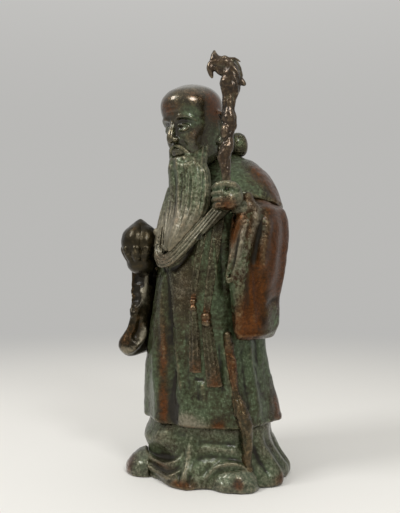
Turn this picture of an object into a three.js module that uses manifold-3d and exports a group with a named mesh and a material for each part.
// A standing longevity sage in cast bronze, parted the way a founder parts the wax: a hollow robe set over a
// hollow underskirt, with the head, beard, sleeves, hands, peach, shoes and trim cast apart and dowelled on,
// and a dragon staff that lifts out of the left fist.
// Millimetres, +Z up. The figure faces -Y and its left side is +X.
import * as THREE from "three";
import { mergeVertices } from "three/addons/utils/BufferGeometryUtils.js";
import Module from "manifold-3d";

const wasm = await Module();
wasm.setup();
const degrees = THREE.MathUtils.degToRad;
const vector = (x, y, z) => new THREE.Vector3(x, y, z);

// Joints and walls
const fitGap = 0.3; // clearance round every seat, spigot and dowel
const wall = 3; // least wall of the hollow castings
const dowelRadius = 3;
const pinRadius = 1.6;

// Robe: width is side to side about x, front and back are measured from the line y
const hemHeight = 46;
const neckHeight = 274;
const chestHeight = neckHeight - 76;
const shoulder = (share) => THREE.MathUtils.lerp(chestHeight, neckHeight, share); // heights between them
const robeStations = [
  { z: hemHeight, width: 118, front: 47, back: 54, x: 0, y: 4 },
  { z: 62, width: 115, front: 47, back: 51, x: -1.5, y: 4 },
  { z: 90, width: 107, front: 47, back: 45, x: -3.5, y: 3 },
  { z: 125, width: 99, front: 47, back: 42, x: -2.5, y: 3 },
  { z: 165, width: 91, front: 48, back: 41, x: 1, y: 3 },
  { z: chestHeight, width: 88, front: 47, back: 40, x: 3, y: 5 },
  { z: shoulder(0.29), width: 88, front: 41, back: 40, x: 6, y: 7 },
  { z: shoulder(0.5), width: 86, front: 35, back: 40, x: 7.5, y: 8.5 },
  { z: shoulder(0.68), width: 77, front: 27, back: 36, x: 7.5, y: 9 },
  { z: shoulder(0.865), width: 58, front: 17, back: 28, x: 6.5, y: 9.5 },
  { z: shoulder(0.96), width: 38, front: 10, back: 18, x: 6, y: 10 },
  { z: neckHeight, width: 22, front: 6, back: 11, x: 6, y: 10 },
];
// Folds of the robe: where (degrees from the front towards the left), how wide, how high, from which height
const robeFolds = [
  { at: -19, spread: 5.5, rise: -3.4, top: 182, drift: 12.5 }, // the front opening
  { at: -28, spread: 6, rise: 3.4, top: 165, drift: 6.5 },
  { at: -12, spread: 6, rise: 1.8, top: 130, drift: 16.5 },
  { at: -43, spread: 7, rise: -2.2, top: 150, drift: -2.5 },
  { at: -59, spread: 8, rise: 2, top: 145, drift: 1 },
  { at: 43, spread: 6, rise: 1.8, top: 128, drift: 15.5 },
  { at: 85, spread: 10, rise: -2.6, top: 150, drift: 2 },
  { at: 112, spread: 10, rise: 5.2, top: 150, drift: 4 }, // the back corner on the left
  { at: 138, spread: 9, rise: -2.8, top: 190, drift: 2 },
  { at: 160, spread: 9, rise: 2.8, top: 200, drift: 2 },
  { at: 184, spread: 8, rise: -2.8, top: 200, drift: -2 },
  { at: 208, spread: 9, rise: 3.2, top: 200, drift: -3 },
  { at: 232, spread: 9, rise: -2.6, top: 180, drift: 0 },
  { at: 256, spread: 10, rise: 3.6, top: 170, drift: 2 },
  { at: 276, spread: 7, rise: -2, top: 150, drift: 0 },
];
const foldDepth = 3.4; // deepest crease, kept clear of the core
const mantleRise = 7; // how far the shoulder cape stands off the robe
const mantleFront = neckHeight - 38; // height of the cape's edge at the front
const mantleBack = neckHeight - 54;
const mantleFlare = { at: 100, spread: 45, rise: 6 }; // over the raised left arm

// Underskirt, puddled on the table below the hem
const lapDepth = 14; // spigot that the robe sits over
const skirtStations = [
  { z: 0, width: 126, front: 46, back: 56, x: 4, y: 3 },
  { z: 6, width: 130, front: 47, back: 58, x: 4, y: 3 },
  { z: 18, width: 120, front: 44, back: 52, x: 2.5, y: 4 },
  { z: 32, width: 109, front: 42, back: 48, x: 0.5, y: 4 },
  { z: hemHeight, width: 109, front: 42, back: 48, x: 0, y: 4 },
];
const scallops = 9; // waves round the puddled hem
const scallopRise = 2.6;
const hemBulge = { at: -6, spread: 27, rise: 8, top: 26 }; // cloth that spreads between the shoes
// Pleats that run down the underskirt, set as the robe's folds are
const skirtPleats = [
  { at: 8.5, spread: 4, rise: 2.4, top: 36, drift: -2.5 },
  { at: 78, spread: 5, rise: 2.6, top: 44, drift: 11 },
  { at: 94, spread: 5, rise: 2.4, top: 44, drift: 13 },
  { at: -84, spread: 5, rise: 2.2, top: 42, drift: -10 },
  ...[124, 150, 176, 202, 228, 254].map((at, i) => ({ at, spread: 5.5, rise: 2.4, top: 44, drift: i % 2 ? 4 : -3 })),
];
// Swags that hang across it: the middle, half the span, the height there and at the ends, and the roll's size
const skirtSwags = [
  { at: -50, half: 42, middle: 31, ends: 33, rise: 7.5, tall: 8.5 }, // the puff under the right panel
  { at: -26, half: 33, middle: 12.5, ends: 24, rise: 2.4, tall: 3.2 },
  { at: -24, half: 30, middle: 4, ends: 10, rise: 1.8, tall: 2.8 },
  { at: 35.5, half: 25, middle: 30, ends: 25, rise: 2.2, tall: 2.8 },
  { at: 35, half: 23, middle: 19.5, ends: 14, rise: 1.8, tall: 2.6 },
];

// Shoes: toe caps of cloth shoes, sizes along the length from the heel
const shoeStations = [
  { s: 0, width: 32, height: 24 },
  { s: 16, width: 37, height: 23 },
  { s: 28, width: 36, height: 19 },
  { s: 36, width: 28, height: 13 },
  { s: 40, width: 13, height: 6 },
];
const leftShoe = { x: 33, y: -3, turn: 17, girth: 1.17, pinAt: 39 };
const rightShoe = { x: -33, y: -9, turn: -28, girth: 1, pinAt: -48 };
const shoePinHeight = 5;
const shoePinReach = 3.5; // into the shoe, and into the skirt's wall

// Head, in its own frame: z from the middle of the head, which is turned and bowed on the neck
const headRise = 20; // from the robe's neck to the middle of the head
const headCentre = vector(-2.5, -16, neckHeight + headRise);
const headTurn = -12;
const headBow = 9;
const headStations = [
  { z: -36, width: 22, front: 11, back: 9 },
  { z: -30, width: 33, front: 20, back: 15 },
  { z: -18, width: 41, front: 23, back: 20 },
  { z: -5, width: 45, front: 24, back: 24 },
  { z: 6, width: 48, front: 25.5, back: 27 },
  { z: 16, width: 50, front: 30, back: 28 },
  { z: 25, width: 46, front: 29, back: 25.5 },
  { z: 32, width: 34, front: 21.5, back: 19 },
  { z: 36, width: 15, front: 9.5, back: 9 },
];
// Features of a calm, bearded face: angle from the middle, height, rise, and the spread each way
const faceFeatures = [
  { at: 0, z: -9, rise: 7, spread: 8, tall: 4.5 },
  { at: 0, z: -1, rise: 3, spread: 7, tall: 6 },
  { at: -21, z: 0, rise: -2.4, spread: 10, tall: 3.5 },
  { at: 21, z: 0, rise: -2.4, spread: 10, tall: 3.5 },
  { at: -22, z: 7, rise: 1.8, spread: 14, tall: 2.6 },
  { at: 22, z: 7, rise: 1.8, spread: 14, tall: 2.6 },
  { at: -34, z: -10, rise: 2, spread: 13, tall: 5 },
  { at: 34, z: -10, rise: 2, spread: 13, tall: 5 },
];
const earSize = vector(3.6, 6, 12);
const neckRadius = 10;
const neckDepth = 38; // how far the neck is let into the robe
const neckBase = vector(0, 3, neckHeight - neckDepth);
const neckTop = headCentre.clone().add(vector(0, 10, -22));

// Hair gathered at the nape into a knot, measured from the middle of the head
const napeOffset = vector(10.5, 17, -14);
const napeSize = vector(18, 17, 15);
const knotOffset = vector(24.5, 32, -11);
const knotSize = vector(7.8, 7.4, 11.5);

// Beard, hung from the chin over the chest
const chinHeight = headCentre.z - 20;
const beardTurn = -14;
const beardStations = [
  { z: chinHeight - 87, x: -4, y: -46.5, width: 8, depth: 5 },
  { z: chinHeight - 80, x: -3, y: -45, width: 19, depth: 8 },
  { z: chinHeight - 68, x: 1, y: -40, width: 31, depth: 11 },
  { z: chinHeight - 52, x: 3, y: -33.5, width: 43, depth: 13 },
  { z: chinHeight - 28, x: 2, y: -29, width: 44, depth: 13.5 },
  { z: chinHeight - 14, x: -1, y: -28, width: 41, depth: 13 },
  { z: chinHeight - 7, x: -4, y: -28.5, width: 33, depth: 12 },
];
const beardLocks = 6;
const lockRise = 1.1;
// Moustache, from under the nose down beside the mouth, in the head's frame
const moustacheRoute = [vector(1.5, -25, -14.5), vector(5.5, -24, -17.5), vector(9.5, -21, -23), vector(12.5, -18, -34)];
const moustacheRadius = 2.6;

// Shawl lapel: a padded band that runs from the shoulders to the waist, by angle and height on the robe
const lapelRoute = [
  { at: 50, z: neckHeight - 34 },
  { at: 38, z: neckHeight - 47 },
  { at: 25, z: neckHeight - 60 },
  { at: 12, z: neckHeight - 74 },
  { at: 0, z: neckHeight - 86 },
  { at: -13, z: neckHeight - 94 },
  { at: -26, z: neckHeight - 92 },
  { at: -36, z: neckHeight - 74 },
  { at: -43, z: neckHeight - 48 },
];
const lapelWidth = 12;
const lapelDepth = 7;

// Sleeves, hung from the wrists: plan sections by height, length along the heading and thickness across it
const leftWristHeight = 223;
const rightWristHeight = 174;
const leftSleeveStations = [
  { z: leftWristHeight - 106, x: 52.5, y: -11.5, length: 42, depth: 13, heading: -15 },
  { z: leftWristHeight - 99, x: 53, y: -12, length: 49, depth: 20, heading: -15 },
  { z: leftWristHeight - 73, x: 53, y: -13, length: 52, depth: 24, heading: -17 },
  { z: leftWristHeight - 38, x: 55, y: -12, length: 59, depth: 27.5, heading: -18 },
  { z: leftWristHeight - 11, x: 56, y: -10, length: 60, depth: 28, heading: -17 },
  { z: leftWristHeight, x: 54.5, y: -8.5, length: 55, depth: 27, heading: -17 },
  { z: leftWristHeight + 6, x: 52, y: -4, length: 46, depth: 25, heading: -17 },
  { z: leftWristHeight + 10, x: 48, y: 0, length: 28, depth: 16, heading: -15 },
];
const rightSleeveStations = [
  { z: rightWristHeight - 76, x: -63, y: -11, length: 38, depth: 13, heading: 6 },
  { z: rightWristHeight - 70, x: -62.5, y: -11, length: 46, depth: 20, heading: 6 },
  { z: rightWristHeight - 49, x: -58.5, y: -10, length: 44, depth: 22, heading: 10 },
  { z: rightWristHeight - 24, x: -55, y: -9, length: 43, depth: 23, heading: 14 },
  { z: rightWristHeight - 2, x: -53, y: -7, length: 42, depth: 24, heading: 17 },
  { z: rightWristHeight + 12, x: -50, y: -2, length: 36, depth: 25, heading: 16 },
  { z: rightWristHeight + 26, x: -45, y: 3, length: 30, depth: 24, heading: 12 },
  { z: rightWristHeight + 39, x: -38, y: 7, length: 18, depth: 15, heading: 8 },
];
// Folds of the hanging sleeves, by degrees from the front edge round the outer side
const sleeveFolds = [
  { at: 22, spread: 13, rise: 2 },
  { at: 50, spread: 14, rise: -2.4 },
  { at: 84, spread: 16, rise: 1.8 },
  { at: 122, spread: 15, rise: -2 },
  { at: 152, spread: 14, rise: 1.8 },
];
const mouthSize = vector(5, 8, 15); // hollow of the sleeve round the wrist
const leftDowelHeight = leftWristHeight - 18;
const rightDowelHeight = rightWristHeight + 16;
const dowelLength = 26;

// Left fist and the staff that stands in it
const fistCentre = vector(42, -42, leftWristHeight + 6);
const fistSize = vector(10.5, 10.5, 11);
const fingerRadius = 3.1;
const fingerPitch = 5.2;
const wristRadius = 7;
const wristDepth = 16; // how far each wrist is let into its sleeve
const tenonRadius = 2.7;
const tenonDepth = 16;
const staffFoot = fistCentre.clone().add(vector(0, 0, fistSize.z + fitGap)); // its shoulder on the fist
const staffRoute = [
  vector(0, 0, 0),
  vector(0.3, 0, 15),
  vector(2, 0.5, 30),
  vector(-0.5, -0.5, 47),
  vector(0.5, 0.5, 61),
  vector(1.5, 1.5, 73),
  vector(0.5, 1, 84.5),
].map((offset) => offset.add(staffFoot));
const staffStations = [
  { t: 0, radius: 4 },
  { t: 0.12, radius: 4.6 },
  { t: 0.24, radius: 5.6 },
  { t: 0.34, radius: 4.1 },
  { t: 0.46, radius: 6.2 },
  { t: 0.58, radius: 4.9 },
  { t: 0.7, radius: 5.8 },
  { t: 0.8, radius: 6.4 },
  { t: 0.9, radius: 6.2 },
  { t: 1, radius: 6 },
];
// Dragon finial, from the top of the staff: x runs the way it looks, z is up
const dragonHeading = vector(-0.85, -0.53, 0);
const dragonParts = {
  skull: { route: [[-6, -5], [0, 6], [5, 10]], from: 6.5, to: 5.5 },
  snout: { route: [[2, 9], [8, 13], [14, 18]], from: 5.6, to: 2.2 },
  jaw: { route: [[2, 5], [10, 6], [15, 1], [16, -4]], from: 4.2, to: 1.7 },
  crest: { route: [[0, 10], [-4, 13], [-9, 9]], from: 3.6, to: 1.6 },
  horn: { route: [[-3, 6], [-9, 0], [-13, -8]], from: 4, to: 2 },
};

// Lower staff, standing in relief against the robe and skirt, by angle and height
const lowerStaffRoute = [
  { at: 49, z: 124 },
  { at: 51.5, z: 96 },
  { at: 51.5, z: 70 },
  { at: 56, z: 47 },
  { at: 54.5, z: 24 },
  { at: 52, z: 0 },
];
const lowerStaffRadius = 3.6;
const hemStep = 2; // how far it stands out over the skirt, to clear the hem

// Peach in the right hand
const peachCentre = vector(-46, -35, rightWristHeight + 23);
const peachRadius = 15;
const peachStations = [
  { z: -15.5, radius: 3 },
  { z: -13.5, radius: 9 },
  { z: -6, radius: 14.2 },
  { z: 1, radius: peachRadius },
  { z: 9, radius: 12 },
  { z: 15, radius: 6.6 },
  { z: 20, radius: 1.2 },
];
const peachCleft = 1.3;
const palmRise = 5; // palm below the peach
const rightFingers = [-60, -20, 21, 60];
const rightThumb = 118;
const fingerTop = -5; // of the fingers on the peach, from its middle

// Girdle tassels, by angle on the robe and height
const tassels = [
  { name: "front_tassel", top: 202, at: 18, knot: 150, knotAt: 14.5, foot: 90, footAt: 18, width: 7.5 },
  { name: "side_tassel", top: 206, at: 36, knot: 135, knotAt: 27.5, foot: 80, footAt: 37, width: 9 },
];
const cordRadius = 1.6;
const tasselFlutes = 5;

// Facets
const robeSides = 60;
const robeRings = 15;
const skirtHeights = [0, 3, 6.5, 10, 14, 18, 22, 26, 30, 34, 39]; // rings below the ledge
const plainSides = 32;

// Smooth values between stations, read at the key that orders them
function along(stations, key) {
  const names = Object.keys(stations[0]).filter((name) => name !== key);
  const positions = stations.map((station) => station[key]);
  const samples = stations.flatMap((station) => names.map((name) => station[name]));
  const curve = new THREE.CubicInterpolant(positions, samples, names.length);
  return (at) => {
    const values = curve.evaluate(at);
    return Object.fromEntries(names.map((name, i) => [name, values[i]]));
  };
}

// Evenly spaced values from first to last
function steps(first, last, count) {
  return Array.from({ length: count + 1 }, (_, i) => THREE.MathUtils.lerp(first, last, i / count));
}

// Angles once round
function turns(sides) {
  return Array.from({ length: sides }, (_, i) => (i / sides) * 2 * Math.PI);
}

// A bell-shaped swell round an angle
function swell(angle, at, spread) {
  const away = Math.atan2(Math.sin(angle - degrees(at)), Math.cos(angle - degrees(at)));
  return Math.exp(-((away / degrees(spread)) ** 2));
}

// A geometry as a solid with its faces pointing out
function solid(geometry) {
  const bare = geometry.clone();
  bare.deleteAttribute("normal");
  bare.deleteAttribute("uv");
  const merged = mergeVertices(bare, 1e-4);
  const vertProperties = merged.attributes.position.array;
  const triVerts = Uint32Array.from(merged.index.array);
  const made = new wasm.Manifold(new wasm.Mesh({ numProp: 3, vertProperties, triVerts }));
  if (made.volume() > 0) return made;
  triVerts.reverse();
  return new wasm.Manifold(new wasm.Mesh({ numProp: 3, vertProperties, triVerts }));
}

// A solid skinned over rings of points, with a fan over each end
function loft(rings) {
  const sides = rings[0].length;
  const middle = (ring) => ring.reduce((sum, p) => sum.add(p), vector(0, 0, 0)).divideScalar(sides);
  const points = [...rings.flat(), middle(rings[0]), middle(rings.at(-1))];
  const lastRing = (rings.length - 1) * sides;
  const lowCap = points.length - 2;
  const highCap = points.length - 1;
  const index = [];
  for (let i = 0; i < sides; i++) {
    const next = (i + 1) % sides;
    for (let row = 0; row < lastRing; row += sides) {
      index.push(row + i, row + next, row + sides + next);
      index.push(row + i, row + sides + next, row + sides + i);
    }
    index.push(lowCap, next, i);
    index.push(highCap, lastRing + i, lastRing + next);
  }
  return solid(new THREE.BufferGeometry().setFromPoints(points).setIndex(index));
}

// A round bar whose radius follows a rule along its curve, with domed ends
function bar(curve, radiusAt, sides, count) {
  const frames = curve.computeFrenetFrames(count, false);
  const rings = steps(0, 1, count).map((t, i) => {
    const centre = curve.getPointAt(t);
    const radius = radiusAt(t);
    return turns(sides).map((angle) =>
      centre
        .clone()
        .addScaledVector(frames.normals[i], radius * Math.cos(angle))
        .addScaledVector(frames.binormals[i], radius * Math.sin(angle)),
    );
  });
  return loft(rings);
}

// A straight rod between two points
function rod(from, to, radius, sides = 12) {
  return bar(new THREE.LineCurve3(from, to), () => radius, sides, 1);
}

function ellipsoid(centre, size, sides, rows) {
  const geometry = new THREE.SphereGeometry(1, sides, rows).rotateX(Math.PI / 2);
  return solid(geometry.scale(size.x, size.y, size.z).translate(centre.x, centre.y, centre.z));
}

// The largest body left by a cut
function largest(body) {
  return body.decompose().reduce((best, next) => (next.volume() > best.volume() ? next : best));
}

function join(bodies) {
  return bodies.reduce((whole, body) => whole.add(body));
}

function cut(body, ...tools) {
  return tools.reduce((left, tool) => left.subtract(tool), body);
}

// The block below the table top, wider than the figure
const tableSize = 400;
const tableBlock = new THREE.BoxGeometry(tableSize, tableSize, tableSize);
const belowTable = solid(tableBlock.translate(0, 0, -tableSize / 2));

// Robe

const robeAt = along(robeStations, "z");

// How far a set of folds stands out at a place: each starts at its top and drifts as it falls to the foot
function foldRise(folds, foot, angle, z) {
  return folds.reduce((sum, fold) => {
    const share = THREE.MathUtils.smoothstep(fold.top - z, 0, fold.top - foot);
    const at = fold.at + fold.drift * share;
    return sum + fold.rise * Math.sqrt(share) * swell(angle, at, fold.spread);
  }, 0);
}

// A point on an oval plan section, pushed out by grow
function ovalPoint({ width, front, back, x, y }, angle, z, grow) {
  const reach = Math.cos(angle) > 0 ? front : back;
  const radial = vector((width / 2) * Math.sin(angle), -reach * Math.cos(angle), 0);
  return radial.setLength(radial.length() + grow).add(vector(x, y, z));
}

function robePoint(angle, z, grow = 0) {
  return ovalPoint(robeAt(z), angle, z, grow + foldRise(robeFolds, hemHeight, angle, z));
}

function robeForm(grow) {
  const heights = steps(hemHeight - grow, neckHeight + grow, robeRings);
  return loft(heights.map((z) => turns(robeSides).map((angle) => robePoint(angle, z, grow))));
}

// The shoulder cape, highest at the front
function mantleForm(grow) {
  const sides = plainSides;
  const rings = steps(0, 1, 6).map((t) =>
    turns(sides).map((angle) => {
      const edge = THREE.MathUtils.lerp(mantleBack, mantleFront, (1 + Math.cos(angle)) / 2);
      const z = THREE.MathUtils.lerp(edge - grow, neckHeight + grow, t);
      const flare = mantleFlare.rise * swell(angle, mantleFlare.at, mantleFlare.spread);
      return ovalPoint(robeAt(z), angle, z, grow + (mantleRise + flare) * (1 - 0.6 * t));
    }),
  );
  return loft(rings);
}

const coreTop = neckHeight - 26;

// The smooth core inside the folds, taken away by shrink
function coreRing(z, shrink) {
  return turns(plainSides).map((angle) => ovalPoint(robeAt(z), angle, z, -wall - foldDepth - shrink));
}

const coreHeights = [hemHeight - wall, hemHeight, ...steps(hemHeight + lapDepth, coreTop, 5)];
const robeCore = loft(coreHeights.map((z) => coreRing(z, 0)));
const robeSkin = robeForm(fitGap).add(mantleForm(fitGap));
const neckHole = rod(neckBase, neckTop, neckRadius + fitGap, 16);

// Underskirt

const skirtAt = along(skirtStations, "z");

function swagRise(angle, z) {
  return skirtSwags.reduce((sum, { at, half, middle, ends, rise, tall }) => {
    const away = Math.atan2(Math.sin(angle - degrees(at)), Math.cos(angle - degrees(at))) / degrees(half);
    if (Math.abs(away) > 1) return sum;
    const line = THREE.MathUtils.lerp(middle, ends, away ** 2);
    return sum + rise * (1 - away ** 4) * Math.exp(-(((z - line) / tall) ** 2));
  }, 0);
}

function skirtPoint(angle, z, grow = 0) {
  const wave = scallopRise * (1 - z / hemHeight) * Math.cos(scallops * angle);
  const low = THREE.MathUtils.smoothstep(hemBulge.top - z, 0, hemBulge.top);
  const bulge = hemBulge.rise * low * swell(angle, hemBulge.at, hemBulge.spread);
  const drape = foldRise(skirtPleats, 0, angle, z) + swagRise(angle, z);
  return ovalPoint(skirtAt(z), angle, z, grow + wave + bulge + drape);
}

const ledge = hemHeight - fitGap;
const spigotTop = hemHeight + lapDepth;

function skirtForm(grow) {
  const heights = [...skirtHeights, ledge];
  return heights.map((z) => turns(robeSides).map((angle) => skirtPoint(angle, z, grow)));
}

const skirtSkin = loft(skirtForm(fitGap));
const spigot = loft([hemHeight - wall, hemHeight, spigotTop].map((z) => coreRing(z, fitGap)));
const skirtCore = loft([
  turns(plainSides).map((angle) => ovalPoint(skirtAt(0), angle, -1, -wall - scallopRise)),
  turns(plainSides).map((angle) => ovalPoint(skirtAt(18), angle, 18, -wall - scallopRise)),
  coreRing(hemHeight, wall),
  coreRing(spigotTop + 1, wall),
]);

// Four blind pins round the lap joint, from inside the spigot into the robe's wall
const hemPins = ["left", "back", "right", "front"].map((side, i) => {
  const angle = Math.PI / 2 + (i * Math.PI) / 2;
  const z = hemHeight + lapDepth / 2;
  const place = (grow) => ovalPoint(robeAt(z), angle, z, grow - wall - foldDepth);
  const [inner, outer] = [place(-wall - fitGap - 1), place(wall / 2)];
  return { name: `hem_pin_${side}`, body: rod(inner, outer, pinRadius, 8), inner, outer };
});
const hemPinHoles = join(
  hemPins.map(({ inner, outer }) => {
    const reach = outer.clone().sub(inner).setLength(fitGap);
    return rod(inner.clone().sub(reach), outer.clone().add(reach), pinRadius + fitGap, 8);
  }),
);

// Shoes

const shoeAt = along(shoeStations, "s");

function shoeForm({ x, y, turn, girth }, grow) {
  const length = shoeStations.at(-1).s;
  const arc = steps(0, Math.PI, 12);
  const rings = steps(0, length, 9).map((s) => {
    const { width, height } = shoeAt(s);
    const [half, rise] = [(width * girth) / 2 + grow, height + grow];
    return arc.map((angle) => vector(half * Math.cos(angle), -s, rise * Math.sin(angle)));
  });
  rings.flat().forEach((p) => p.applyAxisAngle(vector(0, 0, 1), degrees(turn)).add(vector(x, y, 0)));
  return loft(rings);
}

// A pin let into the skirt's wall and along the shoe, grown for its hole
function shoePin({ turn, pinAt }, grow) {
  const toe = vector(0, -1, 0).applyAxisAngle(vector(0, 0, 1), degrees(turn));
  const seat = skirtPoint(degrees(pinAt), shoePinHeight);
  const reach = shoePinReach + grow;
  const ends = [-reach, reach].map((step) => seat.clone().addScaledVector(toe, step));
  return rod(...ends, pinRadius + grow, 8);
}

const shoePinHoles = [leftShoe, rightShoe].map((shoe) => shoePin(shoe, fitGap));

// Head

const headAt = along(headStations, "z");
const headPose = new THREE.Matrix4()
  .makeTranslation(headCentre.x, headCentre.y, headCentre.z)
  .multiply(new THREE.Matrix4().makeRotationZ(degrees(headTurn)))
  .multiply(new THREE.Matrix4().makeRotationX(degrees(headBow)));

function headForm(grow) {
  const [low, high] = [headStations[0].z, headStations.at(-1).z];
  const rings = steps(low, high, 15).map((z) =>
    turns(26).map((angle) => {
      const rise = faceFeatures.reduce(
        (sum, f) => sum + f.rise * swell(angle, f.at, f.spread) * Math.exp(-(((z - f.z) / f.tall) ** 2)),
        0,
      );
      return ovalPoint({ ...headAt(z), x: 0, y: 0 }, angle, z, grow + rise).applyMatrix4(headPose);
    }),
  );
  const ears = [-1, 1].map((side) => {
    const ear = new THREE.SphereGeometry(1, 8, 6).rotateX(Math.PI / 2);
    ear.scale(earSize.x + grow, earSize.y + grow, earSize.z + grow);
    const cheek = headAt(-3).width / 2;
    return solid(ear.translate(side * cheek, 4, -3).applyMatrix4(headPose));
  });
  return join([loft(rings), ...ears]);
}

const headSkin = headForm(fitGap);
const neck = rod(neckBase, neckTop, neckRadius, 16);
const pinDrop = 3; // of the neck pin above the neck's foot
const neckPinMiddle = neckBase.clone().lerp(neckTop, pinDrop / neckTop.distanceTo(neckBase));
const neckPinReach = neckRadius + wall;
const neckPinEnds = [-1, 1].map((side) => neckPinMiddle.clone().add(vector(side * neckPinReach, 0, 0)));

function knotForm() {
  const nape = ellipsoid(headCentre.clone().add(napeOffset), napeSize, 16, 8);
  return nape.add(ellipsoid(headCentre.clone().add(knotOffset), knotSize, 14, 8));
}

// Beard and lapel

const beardAt = along(beardStations, "z");

function beardForm(grow) {
  const [low, high] = [beardStations[0].z, beardStations.at(-1).z];
  const rings = steps(low, high, 9).map((z) => {
    const { x, y, width, depth } = beardAt(z);
    return turns(24).map((angle) => {
      const front = Math.cos(angle) > 0;
      const lock = front ? lockRise * Math.cos(2 * beardLocks * angle) : 0;
      const reach = (front ? depth + lock : depth * 0.6) + grow;
      const point = vector((width / 2 + grow) * Math.sin(angle), -reach * Math.cos(angle), 0);
      return point.applyAxisAngle(vector(0, 0, 1), degrees(beardTurn)).add(vector(x, y, z));
    });
  });
  return join([loft(rings), ...[-1, 1].map(moustache)]);
}

// One drooping lock of the moustache
function moustache(side) {
  const points = moustacheRoute.map(({ x, y, z }) => vector(side * x, y, z).applyMatrix4(headPose));
  return bar(new THREE.CatmullRomCurve3(points), (t) => moustacheRadius * (1 - 0.3 * t), 7, 6);
}

function lapelForm(grow) {
  const route = lapelRoute.map(({ at, z }) => robePoint(degrees(at), z, lapelDepth / 2));
  const curve = new THREE.CatmullRomCurve3(route);
  const rings = steps(0, 1, 20).map((t) => {
    const centre = curve.getPointAt(t);
    const { x, y } = robeAt(centre.z);
    const outward = vector(centre.x - x, centre.y - y, 0).normalize();
    const across = curve.getTangentAt(t).cross(outward).normalize();
    return turns(8).map((angle) =>
      centre
        .clone()
        .addScaledVector(across, (lapelWidth / 2 + grow) * Math.cos(angle))
        .addScaledVector(outward, (lapelDepth / 2 + grow) * Math.sin(angle)),
    );
  });
  return loft(rings);
}

// Sleeves

function sleeveForm(stations, side, grow) {
  const at = along(stations, "z");
  const [low, high] = [stations[0].z - grow, stations.at(-1).z + grow];
  const deepest = Math.max(...stations.map((station) => station.depth));
  const rings = steps(low, high, 11).map((z) => {
    const { x, y, length, depth, heading } = at(THREE.MathUtils.clamp(z, stations[0].z, stations.at(-1).z));
    return turns(26).map((angle) => {
      const fold = sleeveFolds.reduce((sum, f) => sum + f.rise * swell(angle * side, f.at, f.spread), 0);
      const swellOut = (fold * depth) / deepest + grow;
      const point = vector((depth / 2) * Math.sin(angle), (-length / 2) * Math.cos(angle), 0);
      point.setLength(point.length() + swellOut);
      return point.applyAxisAngle(vector(0, 0, 1), degrees(heading)).add(vector(x, y, z));
    });
  });
  return loft(rings);
}

// The middle of a sleeve's front edge at a height
function cuff(stations, z) {
  const { x, y, length, heading } = along(stations, "z")(z);
  return vector(0, -length / 2, 0).applyAxisAngle(vector(0, 0, 1), degrees(heading)).add(vector(x, y, z));
}

// The hollow that the wrist comes out of
function sleeveMouth(stations, z) {
  return ellipsoid(cuff(stations, z - mouthSize.z / 3), mouthSize, 12, 8);
}

// A dowel across the joint between a sleeve and the robe
function armDowel(stations, z, side) {
  const { y } = along(stations, "z")(z);
  const seat = robePoint((side * Math.PI) / 2, z).setY(y);
  return [-side, side].map((way) => seat.clone().add(vector((way * dowelLength) / 2, 0, 0)));
}

// Hands

// A wrist that runs from the hand into its sleeve
function wrist(hand, stations, z) {
  const mouth = cuff(stations, z);
  const inward = mouth.clone().sub(hand).normalize();
  return [hand, mouth.addScaledVector(inward, wristDepth)];
}

// A finger bent round an upright axis, between two angles
function curledFinger(centre, radius, z, from, to, thickness) {
  const points = steps(from, to, 4).map((turn) => {
    const angle = degrees(turn);
    return vector(centre.x + radius * Math.sin(angle), centre.y - radius * Math.cos(angle), z);
  });
  const taper = (t) => thickness * (1 - 0.25 * t);
  return bar(new THREE.CatmullRomCurve3(points), taper, 6, 4);
}

const leftWrist = wrist(fistCentre, leftSleeveStations, leftWristHeight);
const rightPalm = peachCentre.clone().add(vector(0, 3, peachStations[0].z - palmRise / 2));
const palmSize = vector(13.5, 12.5, palmRise + 3);
const rightWrist = wrist(rightPalm, rightSleeveStations, rightWristHeight);

function fistForm() {
  const fingers = [1.5, 0.5, -0.5, -1.5].map((row) =>
    curledFinger(fistCentre, fistSize.x - 1, fistCentre.z + row * fingerPitch, 75, -105, fingerRadius),
  );
  const thumbHeight = fistCentre.z + fistSize.z - fingerRadius;
  const thumb = curledFinger(fistCentre, fistSize.x - 2, thumbHeight, 190, 300, fingerRadius);
  const palm = ellipsoid(fistCentre, fistSize, 12, 8);
  return join([palm, rod(...leftWrist, wristRadius, 14), ...fingers, thumb]);
}

const peachAt = along(peachStations, "z");

function peachForm(grow) {
  const [low, high] = [peachStations[0].z - grow, peachStations.at(-1).z + grow];
  const rings = steps(low, high, 9).map((z) => {
    const { radius } = peachAt(THREE.MathUtils.clamp(z, peachStations[0].z, peachStations.at(-1).z));
    return turns(20).map((angle) => {
      const cleft = (peachCleft * swell(angle, 35, 14) * radius) / peachRadius;
      const reach = Math.max(0.4, radius - cleft) + grow;
      return vector(reach * Math.sin(angle), -reach * Math.cos(angle), z).add(peachCentre);
    });
  });
  return loft(rings);
}

// A finger that climbs the side of the peach
function cuppedFinger(turn, top, thickness) {
  const angle = degrees(turn);
  const points = steps(peachStations[0].z - 1, top, 4).map((z) => {
    const reach = peachAt(z).radius + thickness * 0.7;
    return vector(reach * Math.sin(angle), -reach * Math.cos(angle), z).add(peachCentre);
  });
  return bar(new THREE.CatmullRomCurve3(points), (t) => thickness * (1 - 0.3 * t), 6, 4);
}

function cuppedHandForm() {
  const fingers = rightFingers.map((turn) => cuppedFinger(turn, fingerTop, fingerRadius));
  const thumb = cuppedFinger(rightThumb, fingerTop, fingerRadius);
  const palm = ellipsoid(rightPalm, palmSize, 12, 8);
  return join([palm, rod(...rightWrist, wristRadius, 14), ...fingers, thumb]);
}

// Staff

const staffCurve = new THREE.CatmullRomCurve3(staffRoute);
const staffRadius = along(staffStations, "t");

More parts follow.
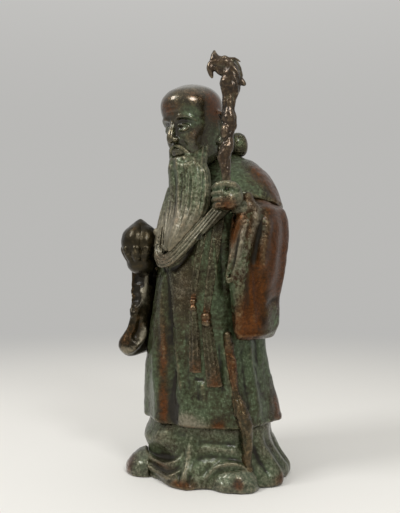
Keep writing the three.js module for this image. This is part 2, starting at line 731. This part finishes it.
function dragonPart({ route, from, to }) {
  const top = staffRoute.at(-1);
  const points = route.map(([ahead, up]) =>
    top.clone().addScaledVector(dragonHeading, ahead).add(vector(0, 0, up)),
  );
  return bar(new THREE.CatmullRomCurve3(points), (t) => THREE.MathUtils.lerp(from, to, t), 7, 4);
}

const tenonFoot = staffFoot.clone().sub(vector(0, 0, tenonDepth));
const tenonHoleFoot = tenonFoot.clone().sub(vector(0, 0, fitGap));
const tenonHoleTop = staffFoot.clone().add(vector(0, 0, fistSize.z)); // clear of the thumb
const tenonHole = rod(tenonHoleFoot, tenonHoleTop, tenonRadius + fitGap);

function upperStaffForm() {
  const shaft = bar(staffCurve, (t) => staffRadius(t).radius, 8, 17);
  const tenon = rod(tenonFoot, staffFoot.clone().add(vector(0, 0, 2)), tenonRadius);
  return join([shaft, tenon, ...Object.values(dragonParts).map(dragonPart)]);
}

// The knotty lower staff stands a little proud of the robe, then of the skirt
function lowerStaffForm() {
  const proud = lowerStaffRadius * 0.4;
  const points = lowerStaffRoute.map(({ at, z }) => {
    if (z > hemHeight) return robePoint(degrees(at), z, proud);
    return skirtPoint(degrees(at), z, proud + hemStep);
  });
  const knots = (t) => lowerStaffRadius * (1 + 0.2 * Math.cos(t * 4 * 2 * Math.PI));
  return bar(new THREE.CatmullRomCurve3(points), knots, 7, 14);
}

// Girdle tassels

function tasselForm({ top, at, knot, knotAt, foot, footAt, width }) {
  const place = (angle, z, proud) => robePoint(degrees(angle), z, proud);
  const knotCentre = place(knotAt, knot, width / 4);
  const cord = new THREE.CatmullRomCurve3([
    place(at, top, cordRadius / 2),
    place((at + knotAt) / 2, (top + knot) / 2, cordRadius / 2),
    knotCentre,
  ]);
  const skirt = new THREE.CatmullRomCurve3([
    knotCentre,
    place((knotAt + footAt) / 2, (knot + foot) / 2, width / 5),
    place(footAt, foot, width / 5),
  ]);
  const bell = (t) => (width / 2) * THREE.MathUtils.lerp(0.72, 1, Math.sqrt(t));
  const ball = ellipsoid(knotCentre, vector(width / 2, width / 2, width / 2), 10, 6);
  return join([bar(cord, () => cordRadius, 6, 6), ball, bar(skirt, bell, 2 * tasselFlutes, 5)]);
}

// Materials

function bronze(color, roughness) {
  return new THREE.MeshStandardMaterial({ color, roughness, metalness: 1 });
}

const patina = bronze(0x4c5240, 0.55); // green-brown, matt in the hollows
const worn = bronze(0x5a3b28, 0.4); // red-brown where hands have rubbed it
const dark = bronze(0x2a2620, 0.35); // near black, without verdigris
const raw = bronze(0x8a6a3c, 0.5); // hidden dowels and pins

// Assembly

const statue = new THREE.Group();
const figure = new THREE.Group();
const staff = new THREE.Group();
statue.add(figure, staff);

function place(group, name, body, material) {
  const { numProp, vertProperties, triVerts } = body.getMesh();
  const geometry = new THREE.BufferGeometry();
  geometry.setAttribute("position", new THREE.BufferAttribute(vertProperties, numProp));
  geometry.setIndex(new THREE.BufferAttribute(triVerts, 1));
  geometry.computeVertexNormals();
  const mesh = new THREE.Mesh(geometry, material);
  mesh.name = name;
  group.add(mesh);
}

const leftDowel = armDowel(leftSleeveStations, leftDowelHeight, 1);
const rightDowel = armDowel(rightSleeveStations, rightDowelHeight, -1);
const dowelHoles = [leftDowel, rightDowel].map(([from, to]) => {
  const reach = to.clone().sub(from).setLength(fitGap);
  return rod(from.clone().sub(reach), to.clone().add(reach), dowelRadius + fitGap);
});
const neckPinHole = rod(...neckPinEnds, pinRadius + fitGap, 8);

const leftSleeveSkin = sleeveForm(leftSleeveStations, 1, fitGap);
const rightSleeveSkin = sleeveForm(rightSleeveStations, -1, fitGap);
const lapelSkin = lapelForm(fitGap);

// The hole for a wrist, a clearance longer than the wrist
function wristHole([hand, end]) {
  const reach = end.clone().sub(hand).setLength(fitGap);
  return rod(hand, end.clone().add(reach), wristRadius + fitGap, 14);
}

const robe = cut(robeForm(0).add(mantleForm(0)), robeCore, neckHole, ...dowelHoles, hemPinHoles);
const underskirt = cut(loft(skirtForm(0)).add(spigot), skirtCore, hemPinHoles, ...shoePinHoles);
const head = cut(headForm(0).add(neck), neckPinHole);
const fist = cut(fistForm(), tenonHole, robeSkin, lapelSkin);
const peachSkin = peachForm(fitGap);
const palmSkin = ellipsoid(rightPalm, palmSize.clone().addScalar(fitGap), 16, 10);

place(figure, "robe", largest(robe), patina);
place(figure, "underskirt", largest(underskirt), patina);
hemPins.forEach(({ name, body }) => place(figure, name, body, raw));

[["left_shoe", leftShoe], ["right_shoe", rightShoe]].forEach(([name, shoe], i) => {
  place(figure, name, largest(cut(shoeForm(shoe, 0), skirtSkin, shoePinHoles[i])), patina);
  place(figure, `${name}_pin`, shoePin(shoe, 0), raw);
});

place(figure, "head", largest(cut(head, robeSkin.subtract(neckHole))), patina);
place(figure, "neck_pin", rod(...neckPinEnds, pinRadius, 8), raw);
place(figure, "hair_knot", largest(cut(knotForm(), headSkin, neckHole, robeSkin)), patina);
place(figure, "lapel", largest(cut(lapelForm(0), robeSkin, leftSleeveSkin, rightSleeveSkin)), patina);
place(figure, "beard", largest(cut(beardForm(0), headSkin, robeSkin, lapelSkin)), patina);

const leftMouth = sleeveMouth(leftSleeveStations, leftWristHeight);
const rightMouth = sleeveMouth(rightSleeveStations, rightWristHeight);
const leftTools = [robeSkin, dowelHoles[0], wristHole(leftWrist), leftMouth];
const rightTools = [robeSkin, dowelHoles[1], wristHole(rightWrist), palmSkin, rightMouth];
place(figure, "left_sleeve", largest(cut(sleeveForm(leftSleeveStations, 1, 0), ...leftTools)), worn);
place(figure, "right_sleeve", largest(cut(sleeveForm(rightSleeveStations, -1, 0), ...rightTools)), dark);
place(figure, "left_arm_dowel", rod(...leftDowel, dowelRadius), raw);
place(figure, "right_arm_dowel", rod(...rightDowel, dowelRadius), raw);

place(figure, "left_hand", largest(fist), patina);
place(figure, "right_hand", largest(cut(cuppedHandForm(), peachSkin, robeSkin, lapelSkin)), dark);
place(figure, "peach", peachForm(0), dark);
for (const tassel of tassels) {
  place(figure, tassel.name, largest(cut(tasselForm(tassel), robeSkin, lapelSkin)), worn);
}
const lowerTools = [robeSkin, skirtSkin, leftSleeveSkin, shoeForm(leftShoe, fitGap), belowTable];
place(figure, "lower_staff", largest(cut(lowerStaffForm(), ...lowerTools)), worn);
place(staff, "dragon_staff", upperStaffForm(), worn);

// The origin is the middle of the footprint's box, on the table
const box = new THREE.Box3().setFromObject(statue);
const middle = box.getCenter(vector(0, 0, 0));
statue.position.set(-middle.x, -middle.y, 0);

export default statue;
